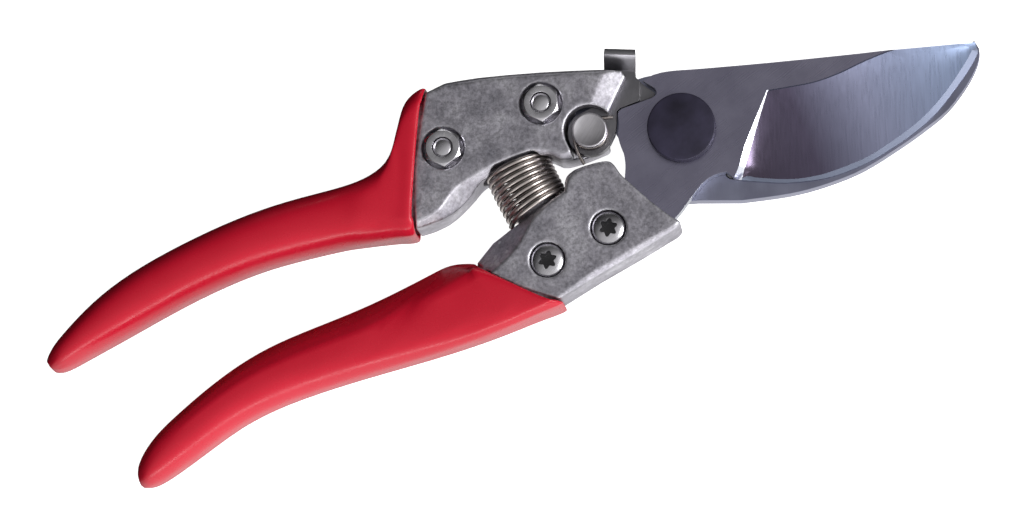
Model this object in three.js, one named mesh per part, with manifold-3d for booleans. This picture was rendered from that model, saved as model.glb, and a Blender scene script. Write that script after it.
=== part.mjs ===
// Bypass pruner for one hand, lying flat with its front side up.
// Millimetres. +X runs from the pivot to the blade tip, +Y to the handle that carries the hook,
// +Z is the pivot axis. The origin is on the pivot axis, in the plane the tool rests on.

import * as THREE from "three";
import { mergeVertices } from "three/addons/utils/BufferGeometryUtils.js";
import Module from "manifold-3d";

// ---------------------------------------------------------------- overall sizes
const gripLength = 87.1; // from the root of a grip to its tip
const drawnGripLength = 87.1; // length the grip stations below are drawn at
const bladeReach = 62.2; // from the pivot axis to the blade tip
const drawnBladeReach = 62.2; // reach the blade and hook outlines below are drawn at
const frameDepth = 13.0; // thickness of both cast frames
const frameFloor = 1.4; // height of the back face of the frames

// ---------------------------------------------------------------- clearances
const castGap = 0.3; // between a casting and the piece beside it
const runGap = 0.15; // between faces that turn on each other
const bearingGap = 0.08; // on the radius of the two turning fits
const boltGap = 0.25; // round a bolt in its hole, on the radius

// ---------------------------------------------------------------- grips
const vinylWall = 1.1;
const lipBow = 1.2; // how far the middle of a grip's cut edge is set back
const runParts = 2; // straight pieces between two points of a smooth run
const bladeParts = 4; // the same on the blades
const grindParts = 3; // the same on the hollow grind
const ringPoints = 20;
const coreRingPoints = 12;
const coreSlack = 0.3; // extra room round a cast core inside its grip
const coreStop = 2; // stations left free between the end of a cast core and the grip's tip
const coreLead = 3.0; // how far a cast core reaches into its frame
const coreTaper = 4.0; // how much it narrows on the way

// ---------------------------------------------------------------- blades
const backWall = 2.4; // frame wall behind the hook
const hookThickness = 4.0;
const bladeThickness = 3.2;
const edgeThickness = 0.35; // of the cutting edge
const tipThickness = 1.5; // of the cutting blade at its tip
const grindStep = 0.35; // drop from the blade face into the hollow grind
const shoulderDrop = 0.75; // further drop at the lower end of its shoulder
const shoulderWidth = 2.4; // width of the shoulder's slope at its lower end
const shoulderEnd = 5; // start point of the hollow grind where the shoulder runs out
const edgeBevel = 1.2; // width of the bevel along the cutting edge
const edgeBevelRise = 0.5;
const edgeOver = 1.1; // how far the hollow grind runs past the edge
const grindHollow = 0.28; // sag of the hollow grind
const notchLip = 1.45; // thickness of the blade corner that lies over the latch nose

// ---------------------------------------------------------------- pivot
const pivotHeadRadius = 7.0;
const pivotHeadHeight = 3.0;
const pivotHeadCrown = 0.5;
const pivotNeckRadius = 4.0;
const pivotKeyWidth = 6.4; // across the two flats of the neck
const pivotThreadRadius = 3.0;
const pivotNutRadius = 7.6;
const pivotNutRoot = 6.9;
const pivotNutTeeth = 18;
const pivotNutHeight = 3.0;
const keeperAngle = -60; // direction of the nut's keeper plate, degrees
const keeperReach = 13.2; // from the pivot to the keeper screw
const keeperWidth = 6.4;
const keeperThickness = 1.6;
const keeperScrewRadius = 1.5;
const keeperHeadRadius = 2.6;
const keeperHeadHeight = 1.3;

// ---------------------------------------------------------------- bolts, screws, nuts
const boltRadius = 2.0;
const boltHeadRadius = 3.4;
const boltHeadHeight = 2.3;
const boltHeadRim = 1.3; // height of the straight rim of a head
const counterboreRadius = 3.7;
const lobeRadius = 1.95;
const lobeDepth = 1.5;
const nutWidth = 7.0; // across flats
const nutHeight = 2.8;
const nutTurn = 15; // degrees from +X to a corner of a nut
const nutSpotRadius = 4.4;
const nutSpotDepth = 1.4;
const hookBoltSeat = 1.2; // depth of the head's seat in the back face
const screwHeadSeat = 2.2; // depth of a blade screw's counterbore
const screwNutSeat = 3.0; // depth of a blade screw's nut pocket

// ---------------------------------------------------------------- latch
const latchThickness = 2.5;
const latchHubRadius = 4.7;
const noseThickness = 1.3;
const tabWidth = 6.4;
const tabLength = 4.2;
const tabThickness = 1.9;
const tabRise = 50; // degrees, out of the latch plate
const tabHeading = 66; // degrees, in the latch plate
const pinRadius = 2.0;
const pinHeadRadius = 3.65;
const pinHeadHeight = 1.0;
const pinFootRadius = 3.0;
const pinFootHeight = 0.7;
const pinPocketRadius = 5.25;
const slotSweep = [-80, 104]; // directions the latch slot opens between, degrees
const slotReach = 24;

// ---------------------------------------------------------------- springs
const mainSpringRadius = 6.65; // to the middle of the wire
const mainWireRadius = 0.55;
const mainSpringTurns = 8;
const mainSpringBend = 12; // degrees between its two ends
const seatPocketRadius = 7.6;
const spigotRadius = 4.9;
const spigotHeight = 2.6;
const lockSpringRadius = 3.45;
const lockWireRadius = 0.35;
const lockSpringTurns = 2.4;

// ---------------------------------------------------------------- heights that follow
const frameTop = frameFloor + frameDepth;
const frameMiddle = frameFloor + frameDepth / 2;
const hookFloor = frameFloor + backWall;
const hookTop = hookFloor + hookThickness;
const bladeFloor = hookTop + runGap;
const bladeTop = bladeFloor + bladeThickness;
const latchFloor = hookTop + castGap;
const latchTop = latchFloor + latchThickness;
const slotTop = latchTop + castGap;
const pivotHeadFloor = bladeTop + runGap;
const pivotHeadTop = pivotHeadFloor + pivotHeadHeight;
const pinHeadFloor = frameTop - pinHeadHeight - castGap;
const gripHalfDepth = frameDepth / 2 + castGap + vinylWall;

// ---------------------------------------------------------------- places in the plane
const hookBoltPlaces = [
  [-24.9, 15.1],
  [-46.9, 13.9],
];
const screwPlaces = [
  [-21.4, -14.0],
  [-35.3, -15.6],
];
const pinPlace = [-17.7, 6.3];
const springTop = [-34.4, 6.8]; // middle of the spring's seat in the hook frame
const springFoot = [-33.3, -4.9]; // middle of the spring's seat in the cutter frame

// ---------------------------------------------------------------- outlines
// Grip stations from the cut edge to the tip: palm x, palm y, finger x, finger y,
// half depth as a share of the full half depth, power of the rounded section,
// width of the slope beside the finger side, and the share of the depth left there.
const hookGripRoot = -52.5;
const hookGripStations = [
  [-45.9, 27.5, -59.0, -0.6, 1.0, 7.0, 1.6, 0.8],
  [-49.5, 26.8, -62.0, 0.2, 1.0, 5.5, 1.8, 0.8],
  [-52.4, 24.0, -64.4, 0.8, 1.0, 4.6, 2.0, 0.8],
  [-55.1, 19.8, -66.8, 1.4, 1.0, 3.8, 2.2, 0.82],
  [-58.6, 16.4, -69.4, 2.0, 1.0, 3.2, 2.4, 0.84],
  [-63.9, 15.0, -72.4, 2.7, 1.0, 2.8, 2.4, 0.86],
  [-71.0, 15.3, -76.6, 3.4, 1.0, 2.6, 2.4, 0.88],
  [-81.0, 16.5, -83.2, 4.3, 1.0, 2.5, 2.4, 0.9],
  [-92.0, 16.9, -92.2, 5.1, 1.0, 2.5, 2.4, 0.9],
  [-104.2, 16.2, -103.4, 4.8, 1.0, 2.5, 2.4, 0.9],
  [-116.2, 14.5, -113.7, 3.7, 0.99, 2.5, 2.2, 0.92],
  [-125.9, 11.7, -122.9, 2.4, 0.97, 2.4, 2.0, 0.94],
  [-133.0, 8.4, -130.6, 1.4, 0.9, 2.3, 1.6, 0.96],
  [-137.2, 6.1, -135.8, 0.7, 0.7, 2.2, 1.2, 0.98],
  [-139.2, 4.3, -138.5, 1.2, 0.38, 2.0, 0.8, 1.0],
];
const cutterGripRoot = -42.7;
const cutterGripStations = [
  [-35.4, -25.2, -50.3, -9.5, 1.0, 7.0, 4.2, 0.3],
  [-40.8, -25.3, -54.2, -8.4, 1.0, 5.5, 5.1, 0.32],
  [-47.4, -25.5, -58.4, -8.6, 1.0, 4.4, 5.0, 0.36],
  [-56.2, -25.4, -64.4, -9.2, 1.0, 3.6, 4.8, 0.42],
  [-67.0, -24.7, -72.6, -9.8, 1.0, 3.0, 4.6, 0.48],
  [-79.0, -23.6, -82.0, -10.0, 1.0, 2.7, 4.3, 0.54],
  [-92.5, -22.8, -92.8, -10.2, 1.0, 2.5, 4.0, 0.6],
  [-104.0, -23.3, -102.0, -11.5, 1.0, 2.5, 3.7, 0.64],
  [-113.3, -25.4, -110.3, -13.8, 0.99, 2.5, 3.3, 0.68],
  [-119.8, -27.2, -117.2, -16.3, 0.97, 2.4, 2.8, 0.74],
  [-124.8, -28.4, -123.0, -18.8, 0.9, 2.3, 2.2, 0.82],
  [-128.2, -28.6, -127.6, -22.0, 0.7, 2.2, 1.4, 0.9],
  [-129.7, -27.8, -129.5, -24.6, 0.38, 2.0, 0.8, 1.0],
];

// Frame rims, counterclockwise after the cut edge: x, y, then either the width of the bevel
// at that place or the x and y of the face corner. Each list is one smooth run.
const hookFrameRuns = [
  [
    [-55.5, 0.3, 1.4],
    [-52.0, 0.4, 1.9],
    [-48.4, 1.3, 3.0],
    [-44.9, 3.0, 3.0],
    [-42.2, 4.7, -42.9, 6.2],
    [-38.4, 5.2, -38.6, 6.9],
    [-34.2, 5.3, -34.2, 7.0],
    [-30.0, 5.2, -30.2, 6.8],
    [-27.2, 4.8, -27.3, 5.8],
    [-25.4, 2.9, 1.2],
    [-23.2, 2.3, 1.3],
    [-19.5, 2.2, 0.8],
    [-15.7, 2.3, 0.5],
  ],
  [
    [-15.1, 2.8, 0.3],
    [-14.6, 5.2, 0.2],
    [-13.1, 8.2, 0.2],
  ],
  [
    [-6.8, 14.1, 0.2],
    [-7.2, 15.5, 0.5],
  ],
  [
    [-11.1, 17.3, 0.8],
    [-22.8, 21.4, 0.8],
    [-34.6, 25.0, 0.8],
    [-41.8, 26.6, 0.8],
  ],
];
const cutterFrameRuns = [
  [
    [-26.8, -22.3, 1.0],
    [-17.0, -20.8, 0.9],
    [-11.5, -19.8, 0.8],
    [-8.4, -19.2, 0.6],
    [-7.3, -18.2, 0.4],
  ],
  [
    [-8.9, -16.3, 0.15],
    [-11.3, -12.3, 0.15],
    [-13.8, -7.3, 0.15],
    [-15.1, -4.6, 0.15],
    [-15.5, -2.7, 0.2],
    [-16.2, -1.3, 0.4],
    [-17.8, -0.7, 0.4],
    [-20.5, -0.3, 0.5],
    [-23.5, -0.2, 0.7],
    [-25.4, -0.8, 0.9],
    [-26.4, -2.0, 0.8],
  ],
  [
    [-26.9, -3.5, 0.5],
    [-31.7, -4.5, 0.8],
    [-35.5, -5.3, 1.6],
    [-40.1, -6.3, 4.0],
    [-44.5, -7.5, 5.1],
  ],
];
// Where the front and back faces of a frame meet its cut edge on the finger side.
const hookFaceCorner = [-57.6, 1.8];
const cutterFaceCorner = [-47.0, -14.0];

// Blade outlines, counterclockwise. Each list is one smooth run, corners lie between lists.
const hookRuns = [
  [
    [62.3, -4.6],
    [57.0, -6.8],
    [50.0, -10.3],
    [42.0, -12.6],
    [34.0, -13.2],
    [26.0, -12.0],
    [19.5, -9.0],
    [15.0, -5.0],
    [12.4, -0.5],
    [11.3, 4.0],
    [8.6, 8.6],
    [4.5, 11.3],
    [1.0, 12.6],
    [-3.0, 13.6],
    [-7.5, 13.9],
    [-14.0, 15.7],
    [-24.9, 19.2],
    [-46.9, 18.9],
    [-51.0, 17.2],
    [-52.2, 13.8],
    [-50.6, 10.4],
    [-46.9, 9.2],
    [-35.0, 9.6],
    [-24.9, 9.9],
    [-19.8, 9.7],
    [-16.0, 8.9],
    [-13.4, 6.8],
    [-12.6, 3.5],
    [-12.7, 0],
    [-12.4, -3.5],
    [-11.2, -7.2],
    [-8.4, -11.2],
    [-4.8, -13.6],
    [-2.3, -14.5],
  ],
  [
    [6.0, -17.8],
    [15.8, -20.2],
    [23.6, -21.1],
    [31.6, -21.0],
    [40.2, -19.4],
    [46.2, -17.9],
    [52.2, -15.9],
    [58.0, -12.3],
    [61.6, -8.9],
    [62.6, -6.6],
  ],
];
const spineRun = [
  [62.2, -5.3],
  [54.5, -3.2],
  [46.7, -1.0],
  [35.5, 2.1],
  [21.0, 6.3],
  [8.2, 10.2],
  [2.9, 11.9],
  [0.4, 12.5],
];
const lipTop = [
  [-1.4, 12.7],
];
const lipRun = [
  [-3.8, 12.3],
  [-2.6, 10.7],
  [-2.0, 9.7],
  [-2.2, 8.7],
  [-3.4, 8.3],
];
const openNotchRun = [
  [-0.2, 12.6],
  [-1.0, 10.7],
  [-1.6, 9.2],
  [-2.2, 8.5],
  [-3.4, 8.3],
];
const rearRun = [
  [-9.9, 8.5],
  [-10.9, 7.9],
  [-11.7, 5.5],
  [-12.6, 3.7],
  [-12.9, 1.9],
  [-12.9, -0.2],
  [-13.3, -2.2],
  [-14.0, -4.0],
  [-15.0, -5.8],
  [-17.0, -7.8],
  [-20.0, -8.9],
  [-36.0, -10.4],
  [-39.5, -12.4],
  [-40.2, -15.8],
  [-38.2, -19.2],
  [-33.6, -20.2],
  [-21.4, -18.9],
  [-12.0, -17.9],
  [-7.9, -16.7],
  [-3.9, -14.3],
  [-1.7, -12.9],
  [0, -12.0],
  [1.6, -11.5],
  [3.4, -11.4],
  [5.2, -11.7],
];
const edgeRun = [
  [6.3, -13.4],
  [12.4, -16.4],
  [17.0, -18.3],
  [24.4, -20.1],
  [32.3, -20.2],
  [38.1, -19.3],
  [43.9, -17.9],
  [50.1, -15.5],
  [57.1, -11.2],
  [60.3, -8.9],
  [62.1, -7.2],
];
// Hollow grind: where it starts on the blade face, and where it leaves past the edge.
const grindStarts = [
  [6.3, -13.3],
  [8.1, -11.4],
  [10.4, -8.3],
  [13.4, -5.0],
  [16.2, -2.0],
  [19.0, 1.0],
  [24.1, -0.1],
  [29.1, -1.0],
  [34.5, -1.1],
  [40.0, -0.7],
  [46.9, -0.8],
  [52.4, -2.4],
  [57.8, -3.8],
  [63.4, -5.2],
];
const grindEnds = [
  [6.9, -14.4],
  [9.6, -16.0],
  [14.0, -18.2],
  [19.0, -20.2],
  [24.2, -21.2],
  [29.0, -21.4],
  [34.2, -21.2],
  [39.2, -20.2],
  [44.6, -18.8],
  [49.4, -17.0],
  [54.0, -14.5],
  [58.0, -11.8],
  [61.2, -9.4],
  [63.6, -6.9],
];

// Latch plate, counterclockwise from the tab's bend line round the hub to the nose.
const bendMiddle = [-7.45, 16.2];
const latchNeckRun = [
  [-12.2, 13.4],
  [-15.6, 11.2],
];
const latchHubArc = [112, 310]; // degrees round the pin
const latchNoseRun = [
  [-13.1, 4.2],
  [-12.0, 6.2],
  [-11.25, 7.9],
  [-10.2, 8.85],
  [-3.9, 8.75],
  [-2.7, 8.9],
  [-2.4, 9.5],
  [-3.4, 11.0],
  [-4.4, 12.7],
  [-4.9, 13.8],
];
const noseStep = [
  [-4.1, 13.0],
  [-6.4, 7.8],
];
// Sloping facet of the hook frame beside the latch: upper edge on the front face, and its drop.
const facetEdge = [
  [-11.0, 16.2],
  [-15.8, 11.2],
];
const facetWidth = 6.5;
const facetDrop = 1.9;
// Torsion spring legs: end of the leg on the latch, bends and end of the leg on the cutter frame.
const latchLegEnd = [-12.2, 7.6];
const frameLegRun = [
  [-21.9, 3.4],
  [-21.2, 0.35],
];

// ---------------------------------------------------------------- solids
const wasm = await Module();
wasm.setup();

function toSolid(geometry) {
  const bare = geometry.clone();
  bare.deleteAttribute("normal");
  bare.deleteAttribute("uv");
  const merged = mergeVertices(bare, 1e-4);
  const vertProperties = new Float32Array(merged.attributes.position.array);
  const triVerts = new Uint32Array(merged.index.array);
  return new wasm.Manifold(new wasm.Mesh({ numProp: 3, vertProperties, triVerts }));
}

function toGeometry(solid) {
  const mesh = solid.getMesh();
  const geometry = new THREE.BufferGeometry();
  geometry.setAttribute("position", new THREE.BufferAttribute(new Float32Array(mesh.vertProperties), 3));
  geometry.setIndex(new THREE.BufferAttribute(new Uint32Array(mesh.triVerts), 1));
  geometry.computeVertexNormals();
  return geometry;
}

// A closed skin through rings of equal point count, ends closed by the two lists of triangles.
function skin(rings, startCap, endCap) {
  const count = rings[0].length;
  const positions = rings.flat().flatMap((p) => [p.x, p.y, p.z]);
  const triangles = [];
  for (let k = 0; k + 1 < rings.length; k += 1) {
    for (let j = 0; j < count; j += 1) {
      const a = k * count + j;
      const b = k * count + ((j + 1) % count);
      triangles.push(a, b, b + count, a, b + count, a + count);
    }
  }
  const last = (rings.length - 1) * count;
  startCap.forEach(([a, b, c]) => triangles.push(a, c, b));
  endCap.forEach(([a, b, c]) => triangles.push(last + a, last + b, last + c));
  const geometry = new THREE.BufferGeometry();
  geometry.setAttribute("position", new THREE.BufferAttribute(new Float32Array(positions), 3));
  geometry.setIndex(triangles);
  if (signedVolume(geometry) < 0) {
    geometry.setIndex(Array.from(geometry.index.array).reverse());
  }
  return geometry;
}

function signedVolume(geometry) {
  const position = geometry.attributes.position;
  const corners = Array.from(geometry.index.array, (i) => new THREE.Vector3().fromBufferAttribute(position, i));
  let volume = 0;
  for (let i = 0; i < corners.length; i += 3) {
    volume += corners[i].dot(corners[i + 1].clone().cross(corners[i + 2]));
  }
  return volume / 6;
}

// Triangles of a convex ring, fanned from its first point.
function fan(count) {
  return Array.from({ length: count - 2 }, (_, i) => [0, i + 1, i + 2]);
}

function lift(point, z) {
  return new THREE.Vector3(point.x, point.y, z);
}

function smoothRun(points, parts) {
  if (points.length < 3) {
    return points.map(([x, y]) => new THREE.Vector2(x, y));
  }
  const curve = new THREE.SplineCurve(points.map(([x, y]) => new THREE.Vector2(x, y)));
  return curve.getPoints((points.length - 1) * parts);
}

function outline(runs, parts) {
  return runs.flatMap((run) => smoothRun(run, parts));
}

function inwardNormals(points) {
  return points.map((p, i) => {
    const before = points[(i + points.length - 1) % points.length];
    const after = points[(i + 1) % points.length];
    const a = p.clone().sub(before).normalize();
    const b = after.clone().sub(p).normalize();
    const mean = a.clone().add(b).normalize();
    const spread = Math.max(0.6, mean.dot(a));
    return new THREE.Vector2(-mean.y, mean.x).divideScalar(spread);
  });
}

function grow(points, distance) {
  const normals = inwardNormals(points);
  return points.map((p, i) => p.clone().addScaledVector(normals[i], -distance));
}

function plate(points, low, high, holes = []) {
  const shape = new THREE.Shape(points);
  holes.forEach((hole) => shape.holes.push(hole));
  const geometry = new THREE.ExtrudeGeometry(shape, { depth: high - low, bevelEnabled: false, curveSegments: 12 });
  return geometry.translate(0, 0, low);
}

function circlePoints([x, y], radius, count, from = 0, to = 360) {
  const whole = to - from === 360;
  const steps = whole ? count : count - 1;
  return Array.from({ length: count }, (_, i) => {
    const angle = THREE.MathUtils.degToRad(from + ((to - from) * i) / steps);
    return new THREE.Vector2(x + radius * Math.cos(angle), y + radius * Math.sin(angle));
  });
}

function disc(place, radius, low, high, count = 20) {
  return plate(circlePoints(place, radius, count), low, high);
}

// A turned piece from [radius, height] pairs, its axis along +Z at the given place.
function turned(profile, place, count = 18) {
  const geometry = new THREE.LatheGeometry(
    profile.map(([r, z]) => new THREE.Vector2(r, z)),
    count,
  );
  geometry.rotateX(Math.PI / 2);
  geometry.translate(place[0], place[1], 0);
  return geometry;
}

function sixLobe(place, low, high) {
  const points = Array.from({ length: 18 }, (_, i) => {
    const angle = (i / 18) * 2 * Math.PI;
    const radius = lobeRadius * (0.86 + 0.16 * Math.cos(6 * angle));
    return new THREE.Vector2(place[0] + radius * Math.cos(angle), place[1] + radius * Math.sin(angle));
  });
  return plate(points, low, high);
}

// ---------------------------------------------------------------- stretching with the sizes
function stretchGrip(stations, root) {
  const share = gripLength / drawnGripLength;
  const along = (x) => (x > root ? x : root + (x - root) * share);
  return stations.map(([px, py, fx, fy, ...section], i) =>
    i === 0 ? [px, py, fx, fy, ...section] : [along(px), py, along(fx), fy, ...section],
  );
}

function stretchBlade(points) {
  const share = (bladeReach - pivotHeadRadius) / (drawnBladeReach - pivotHeadRadius);
  const along = (x) => (x > pivotHeadRadius ? pivotHeadRadius + (x - pivotHeadRadius) * share : x);
  return points.map(([x, y]) => [along(x), y]);
}

// ---------------------------------------------------------------- grips and cores
// One point of a grip's side line, moved square to that line towards the other side.
// The first point moves along the cut edge, which keeps that edge in its plane.
function movedIn(line, i, opposite, distance) {
  if (i === 0) {
    return line[0].clone().lerp(opposite, distance / line[0].distanceTo(opposite));
  }
  const before = line[i - 1];
  const after = line[Math.min(i + 1, line.length - 1)];
  const along = after.clone().sub(before).normalize();
  const normal = new THREE.Vector2(-along.y, along.x);
  normal.multiplyScalar(Math.sign(normal.dot(opposite.clone().sub(line[i]))));
  return line[i].clone().addScaledVector(normal, distance);
}

function shrink(stations, distance) {
  const palms = stations.map(([x, y]) => new THREE.Vector2(x, y));
  const fingers = stations.map(([, , x, y]) => new THREE.Vector2(x, y));
  return stations.map((station, i) => {
    const palm = movedIn(palms, i, fingers[i], distance);
    const finger = movedIn(fingers, i, palms[i], distance);
    return [palm.x, palm.y, finger.x, finger.y, ...station.slice(4)];
  });
}

function gripRing(station, inset, bow, count = ringPoints) {
  const [palmX, palmY, fingerX, fingerY, depth, power, slopeWidth, slopeDepth] = station;
  const palm = new THREE.Vector2(palmX, palmY);
  const finger = new THREE.Vector2(fingerX, fingerY);
  const middle = palm.clone().add(finger).multiplyScalar(0.5);
  const across = palm.clone().sub(finger).normalize();
  const back = new THREE.Vector2(across.y, -across.x).multiplyScalar(-Math.sign(across.y));
  const halfWidth = palm.distanceTo(finger) / 2;
  const halfDepth = gripHalfDepth * depth - inset;
  return Array.from({ length: count }, (_, i) => {
    const angle = ((i + 0.5) / count) * 2 * Math.PI;
    const u = Math.sign(Math.cos(angle)) * Math.abs(Math.cos(angle)) ** (2 / power);
    const v = Math.sign(Math.sin(angle)) * Math.abs(Math.sin(angle)) ** (2 / power);
    const spot = middle.clone().addScaledVector(across, u * halfWidth);
    spot.addScaledVector(back, bow * (1 - u * u));
    const slope = Math.min(1, ((1 + u) * halfWidth) / slopeWidth);
    const thinned = slopeDepth + (1 - slopeDepth) * slope;
    return new THREE.Vector3(spot.x, spot.y, frameMiddle + v * halfDepth * thinned);
  });
}

function grip(stations) {
  const outer = stations.map((station, i) => gripRing(station, 0, i === 0 ? lipBow : 0));
  const hollow = shrink(stations, vinylWall).slice(0, 1 - coreStop);
  const inner = hollow.map((station, i) => gripRing(station, vinylWall, i === 0 ? lipBow : 0));
  return skin([...outer.reverse(), ...inner], fan(ringPoints), fan(ringPoints));
}

function gripCore(stations) {
  const inset = vinylWall + castGap + coreSlack;
  const shrunk = shrink(stations, inset);
  const [px, py, fx, fy, ...section] = shrunk[0];
  const across = new THREE.Vector2(px - fx, py - fy).normalize();
  const ahead = new THREE.Vector2(across.y, -across.x).multiplyScalar(Math.sign(across.y) * coreLead);
  const palm = ahead.clone().addScaledVector(across, -coreTaper);
  const finger = ahead.clone().addScaledVector(across, coreTaper);
  const lead = [px + palm.x, py + palm.y, fx + finger.x, fy + finger.y, ...section];
  const body = shrunk.slice(0, -coreStop).map((station) => gripRing(station, inset, 0, coreRingPoints));
  const start = gripRing(lead, inset + coreTaper, 0, coreRingPoints);
  return toSolid(skin([start, ...body], fan(coreRingPoints), fan(coreRingPoints)));
}

// ---------------------------------------------------------------- castings
// The cut edge of a frame follows the cut edge of its grip.
function cutRun(station, faceCorner, upward) {
  const palm = new THREE.Vector2(station[0], station[1]);
  const finger = new THREE.Vector2(station[2], station[3]);
  const across = palm.clone().sub(finger).normalize();
  const ahead = new THREE.Vector2(across.y, -across.x).multiplyScalar(Math.sign(across.y));
  const inset = vinylWall + castGap;
  const first = palm.clone().addScaledVector(across, -inset).addScaledVector(ahead, castGap);
  const last = finger.clone().addScaledVector(across, inset).addScaledVector(ahead, castGap);
  const middle = first.clone().add(last).multiplyScalar(0.5).addScaledVector(ahead, -lipBow);
  const rows = [[first.x, first.y], [middle.x, middle.y], [last.x, last.y, ...faceCorner]];
  return upward ? rows.reverse() : rows;
}

function facePoints(rows) {
  const rim = rows.map(([x, y]) => new THREE.Vector2(x, y));
  const normals = inwardNormals(rim);
  return rows.map((row, i) => {
    if (row.length === 4) {
      return [row[2], row[3]];
    }
    const bevel = row.length === 3 ? row[2] : castGap;
    return [rim[i].x + normals[i].x * bevel, rim[i].y + normals[i].y * bevel];
  });
}

function casting(runs, parts) {
  const rows = runs.flat();
  const faces = facePoints(rows);
  const rim = outline(runs, parts);
  let start = 0;
  const face = runs.flatMap((run) => {
    const piece = faces.slice(start, start + run.length);
    start += run.length;
    return smoothRun(piece, parts);
  });
  const depth = rim.map((p, i) => Math.min(4.6, 0.95 * p.distanceTo(face[i])));
  const cap = THREE.ShapeUtils.triangulateShape(face, []);
  const rings = [
    face.map((p) => lift(p, frameFloor)),
    rim.map((p, i) => lift(p, frameFloor + depth[i])),
    rim.map((p, i) => lift(p, frameTop - depth[i])),
    face.map((p) => lift(p, frameTop)),
  ];
  return toSolid(skin(rings, cap, cap));
}

// A round bar from one point towards a direction, in the plane of the tool.
function bar(place, heading, radius, from, to) {
  const direction = new THREE.Vector3(Math.cos(heading), Math.sin(heading), 0);
  const geometry = new THREE.CylinderGeometry(radius, radius, to - from, 24);
  geometry.translate(0, (from + to) / 2, 0);
  geometry.applyQuaternion(new THREE.Quaternion().setFromUnitVectors(new THREE.Vector3(0, 1, 0), direction));
  return toSolid(geometry.translate(place[0], place[1], frameMiddle));
}

function boltHoles(places, solid) {
  const holes = places.map((place) =>
    toSolid(disc(place, boltRadius + boltGap, frameFloor - 1, frameTop + 1)),
  );
  return holes.reduce((rest, hole) => rest.subtract(hole), solid);
}

function latchSlot() {
  const [from, to] = slotSweep;
  const sector = [new THREE.Vector2(...pinPlace), ...circlePoints(pinPlace, slotReach, 12, from, to)];
  const hub = circlePoints(pinPlace, latchHubRadius + castGap + 0.2, 24);
  return toSolid(plate(sector, hookTop, slotTop)).add(toSolid(plate(hub, hookTop, slotTop)));
}

function pinPocket() {
  const round = toSolid(disc(pinPlace, pinPocketRadius, slotTop - 0.01, frameTop + 1, 30));
  const [x, y] = pinPlace;
  const below = [
    [x - pinPocketRadius, y],
    [x - pinPocketRadius + 0.3, y - 8],
    [x + 9, y - 8],
    [x + 9, y + 2.1],
    [x, y + 2.1],
  ];
  const open = plate(
    below.map((p) => new THREE.Vector2(...p)),
    slotTop - 0.01,
    frameTop + 1,
  );
  return round.add(toSolid(open));
}

function shoulderFacet() {
  const [a, b] = facetEdge.map(([x, y]) => new THREE.Vector2(x, y));
  const along = b.clone().sub(a).normalize();
  const out = new THREE.Vector2(-along.y, along.x);
  const far = 5;
  const corner = (base, step, z) => lift(base.clone().addScaledVector(out, step), z);
  const ring = (base) => [
    corner(base, 0, frameTop),
    corner(base, facetWidth, frameTop - facetDrop),
    corner(base, facetWidth, frameTop + 2),
    corner(base, -0.01, frameTop + 2),
  ];
  const start = a.clone().addScaledVector(along, -far);
  const end = b.clone().addScaledVector(along, far);
  return toSolid(skin([ring(start), ring(end)], fan(4), fan(4)));
}

function hookFrame(stations) {
  const runs = [cutRun(stations[0], hookFaceCorner, false), ...hookFrameRuns];
  const tang = grow(outline(hookRuns.map(stretchBlade), runParts), castGap);
  const [tx, ty] = springTop;
  let solid = casting(runs, runParts).add(gripCore(stations));
  solid = solid.subtract(bar([tx, ty], -Math.PI / 2, seatPocketRadius, 0, 12));
  solid = solid.add(bar([tx, ty], -Math.PI / 2, spigotRadius, -1, spigotHeight));
  solid = solid.subtract(toSolid(plate(tang, hookFloor, hookTop)));
  solid = solid.subtract(latchSlot());
  solid = solid.subtract(pinPocket());
  solid = solid.subtract(shoulderFacet());
  solid = boltHoles(hookBoltPlaces, solid);
  hookBoltPlaces.forEach((place) => {
    const seat = disc(place, counterboreRadius, frameFloor - 1, frameFloor + hookBoltSeat);
    const spot = disc(place, nutSpotRadius, frameTop - nutSpotDepth, frameTop + 1);
    solid = solid.subtract(toSolid(seat)).subtract(toSolid(spot));
  });
  const pinHole = disc(pinPlace, pinRadius + boltGap, frameFloor - 1, frameTop + 1);
  return toGeometry(solid.subtract(toSolid(pinHole)));
}

function cutterFrame(stations) {
  const runs = [cutRun(stations[0], cutterFaceCorner, true), ...cutterFrameRuns];
  const tang = grow(outline([spineRun, lipTop, lipRun, rearRun, edgeRun].map(stretchBlade), runParts), castGap);
  const seatHeading = Math.PI / 2 + THREE.MathUtils.degToRad(mainSpringBend);
  let solid = casting(runs, runParts).add(gripCore(stations));
  solid = solid.subtract(bar(springFoot, seatHeading, seatPocketRadius, 0, 3));
  solid = solid.add(bar(springFoot, seatHeading, spigotRadius, -2, spigotHeight));
  solid = solid.subtract(toSolid(plate(tang, bladeFloor, bladeTop)));
  solid = boltHoles(screwPlaces, solid);
  screwPlaces.forEach((place) => {
    const head = disc(place, counterboreRadius, frameTop - screwHeadSeat, frameTop + 1);
    const nut = disc(place, nutSpotRadius, frameFloor - 1, frameFloor + screwNutSeat);
    solid = solid.subtract(toSolid(head)).subtract(toSolid(nut));
  });
  return toGeometry(solid);
}

// ---------------------------------------------------------------- blades
function hookBlade() {
  const points = outline(hookRuns.map(stretchBlade), bladeParts);
  let solid = toSolid(plate(points, hookFloor, hookTop));
  const bore = toSolid(disc([0, 0], pivotNeckRadius + boltGap, hookFloor - 1, hookTop + 1));
  const flats = new THREE.BoxGeometry(20, pivotKeyWidth + 2 * boltGap, 20);
  solid = solid.subtract(bore.intersect(toSolid(flats.translate(0, 0, hookFloor))));
  solid = boltHoles(hookBoltPlaces, solid);
  const hole = disc(keeperPlace(), keeperScrewRadius + boltGap, hookFloor - 1, hookTop + 1, 16);
  return toGeometry(solid.subtract(toSolid(hole)));
}

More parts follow.
